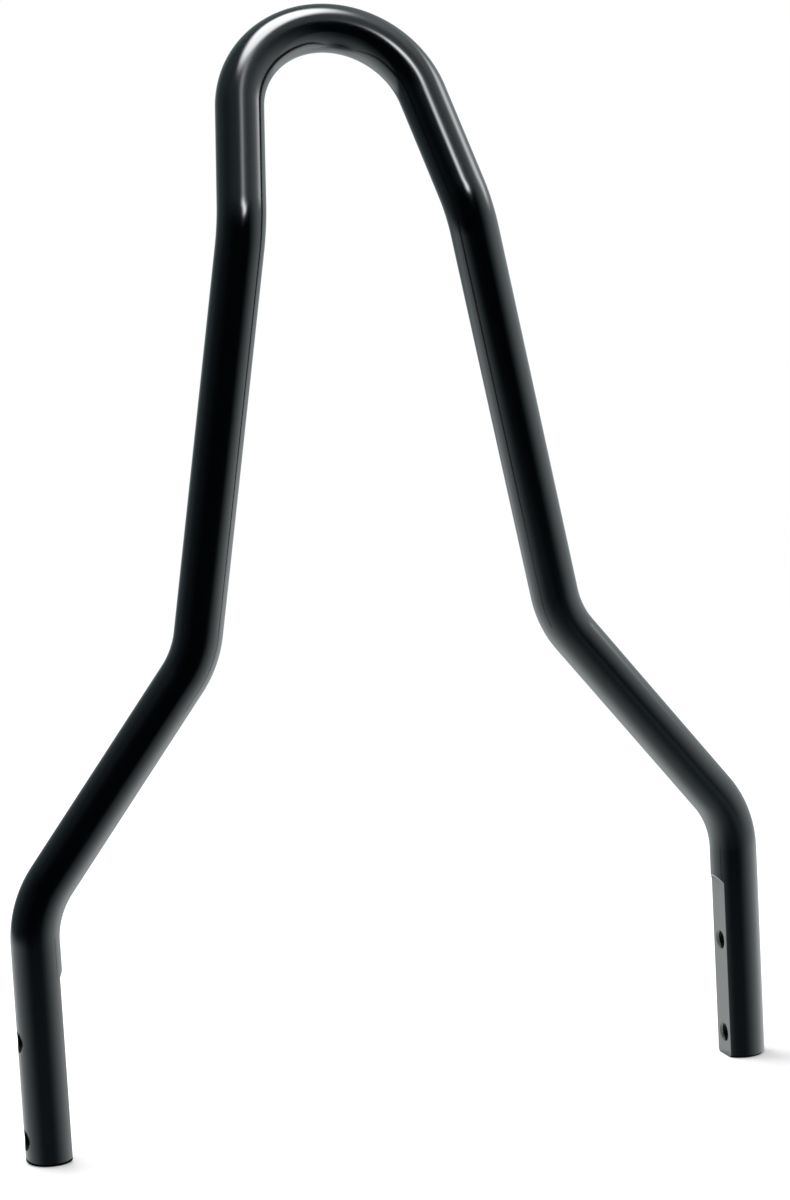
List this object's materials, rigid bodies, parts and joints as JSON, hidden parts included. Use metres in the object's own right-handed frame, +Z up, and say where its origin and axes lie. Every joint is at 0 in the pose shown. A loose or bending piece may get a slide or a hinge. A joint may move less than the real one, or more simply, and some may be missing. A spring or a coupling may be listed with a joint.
{
  "type": "motorcycle sissy bar",
  "caption": "Tall hooped passenger backrest bar bent from round bar, with milled and tapped flats on its feet for the mudguard stays.",
  "frame": {"origin": "midway between the two feet, level with their lower ends", "axes": "+X across the bar to the right foot, +Y to the rear, the way the top leans, +Z up along the feet"},
  "size_m": [0.311, 0.0555, 0.4337],
  "materials": {
    "black_paint": "gloss black paint over steel"
  },
  "bodies": {
    "root": {"sissy_bar": "black_paint"}
  },
  "joints": []
}
